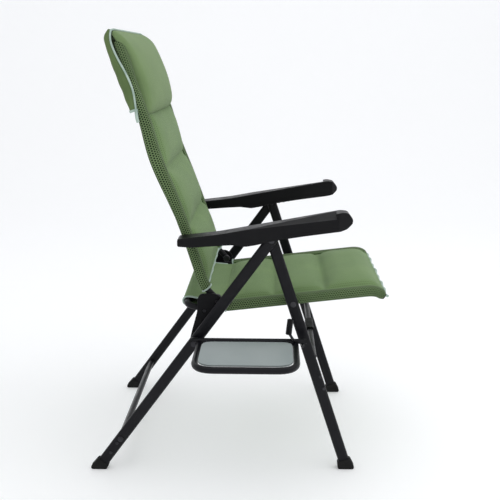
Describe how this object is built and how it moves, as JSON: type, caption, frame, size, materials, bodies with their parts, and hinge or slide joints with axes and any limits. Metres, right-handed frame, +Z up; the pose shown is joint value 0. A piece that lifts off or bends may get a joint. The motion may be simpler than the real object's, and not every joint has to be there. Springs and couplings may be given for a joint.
{
  "type": "folding camp chair",
  "caption": "High-back reclining camp armchair that folds flat, with crossed legs, a padded sling, a head pillow and a side tray.",
  "frame": {"origin": "on the floor under the middle of the chair's box, with the chair open and the tray level", "axes": "+Z up; +X the way the sitter faces; +Y to the sitter's left, so the tray is on the -Y side. The chair's own middle plane is at y = +0.103 m."},
  "size_m": [0.799, 0.7944, 1.17],
  "materials": {
    "black_paint": "satin black powder coat on aluminium tube",
    "satin_plastic": "satin black moulded armrest plastic",
    "matte_plastic": "fine-grained matte black moulded plastic",
    "foot_rubber": "black rubber, slightly scuffed at the sole",
    "dark_steel": "blackened steel bolts and pins",
    "green_cloth": "sage green quilted polyester with open honeycomb mesh sides and pale mint binding",
    "grey_panel": "pale grey tray board"
  },
  "bodies": {
    "rear_legs": {"rear_leg_left": "black_paint", "rear_leg_right": "black_paint", "rear_foot_left": "foot_rubber", "rear_foot_right": "foot_rubber", "rear_stretcher": "black_paint", "rear_bar_bolt_left": "dark_steel", "rear_bar_bolt_right": "dark_steel", "apex_bolt_left": "dark_steel", "apex_bolt_right": "dark_steel", "link_bolt_left": "dark_steel", "link_bolt_right": "dark_steel"},
    "front_legs": {"front_leg_left": "black_paint", "front_leg_right": "black_paint", "front_foot_left": "foot_rubber", "front_foot_right": "foot_rubber", "front_stretcher": "black_paint", "carry_grip": "satin_plastic", "tray_stud": "dark_steel", "seat_bolt_left": "dark_steel", "seat_bolt_right": "dark_steel"},
    "hinge_brackets": {"hinge_bracket_left": "matte_plastic", "hinge_bracket_right": "matte_plastic"},
    "seat": {"seat_frame": "black_paint", "seat_front_bar": "black_paint", "seat_pad": "green_cloth", "seat_hinge_pin_left": "dark_steel", "seat_hinge_pin_right": "dark_steel"},
    "back_hinges": {"back_hinge_pin_left": "dark_steel", "back_hinge_pin_right": "dark_steel"},
    "back": {"back_frame": "black_paint", "back_pad": "green_cloth", "head_pillow": "green_cloth"},
    "arm_hinges": {"arm_hinge_pin_left": "dark_steel", "arm_hinge_pin_right": "dark_steel"},
    "armrests": {"armrest_left": "satin_plastic", "armrest_right": "satin_plastic", "ratchet_rack_left": "matte_plastic", "ratchet_rack_right": "matte_plastic"},
    "tray_rail": {"tray_rail": "black_paint"},
    "tray": {"tray_frame": "black_paint", "tray_panel": "grey_panel"}
  },
  "joints": [
    {"name": "fold", "type": "hinge", "parent": "rear_legs", "child": "front_legs", "pos_m": [0.09252, 0.10275, 0.647], "axis": [0, 1, 0], "range_deg": [0, 47]},
    {"name": "bracket_swing", "type": "hinge", "parent": "rear_legs", "child": "hinge_brackets", "pos_m": [-0.10928, 0.10275, 0.372], "axis": [0, -1, 0], "range_deg": [0, 135.7]},
    {"name": "seat_swing", "type": "hinge", "parent": "hinge_brackets", "child": "seat", "pos_m": [-0.08448, 0.10275, 0.447], "axis": [0, 1, 0], "range_deg": [0, 102.7]},
    {"name": "back_swing", "type": "hinge", "parent": "hinge_brackets", "child": "back_hinges", "pos_m": [-0.05148, 0.10275, 0.473], "axis": [0, 1, 0], "range_deg": [0, 179.7]},
    {"name": "recline", "type": "hinge", "parent": "back_hinges", "child": "back", "pos_m": [-0.05148, 0.10275, 0.473], "axis": [0, -1, 0], "range_deg": [0, 35]},
    {"name": "arm_swing", "type": "hinge", "parent": "back", "child": "arm_hinges", "pos_m": [-0.12648, 0.10275, 0.64], "axis": [0, -1, 0], "range_deg": [0, 68.4]},
    {"name": "arm_tilt", "type": "hinge", "parent": "arm_hinges", "child": "armrests", "pos_m": [-0.12648, 0.10275, 0.64], "axis": [0, 1, 0], "range_deg": [0, 24.7]},
    {"name": "rail_swing", "type": "hinge", "parent": "rear_legs", "child": "tray_rail", "pos_m": [-0.10928, -0.20425, 0.372], "axis": [0, -1, 0], "range_deg": [0, 54.2]},
    {"name": "tray_flip", "type": "hinge", "parent": "tray_rail", "child": "tray", "pos_m": [0.03152, -0.20425, 0.384], "axis": [-1, 0, 0], "range_deg": [0, 90]}
  ],
  "couplings": [
    {"joint": "bracket_swing", "follows": "fold", "ratio": 2.8835},
    {"joint": "seat_swing", "follows": "fold", "ratio": 2.182},
    {"joint": "back_swing", "follows": "fold", "ratio": 3.8197},
    {"joint": "arm_swing", "follows": "fold", "ratio": 1.4511},
    {"joint": "rail_swing", "follows": "fold", "ratio": 1.149},
    {"joint": "arm_tilt", "follows": "recline", "ratio": 0.7}
  ]
}
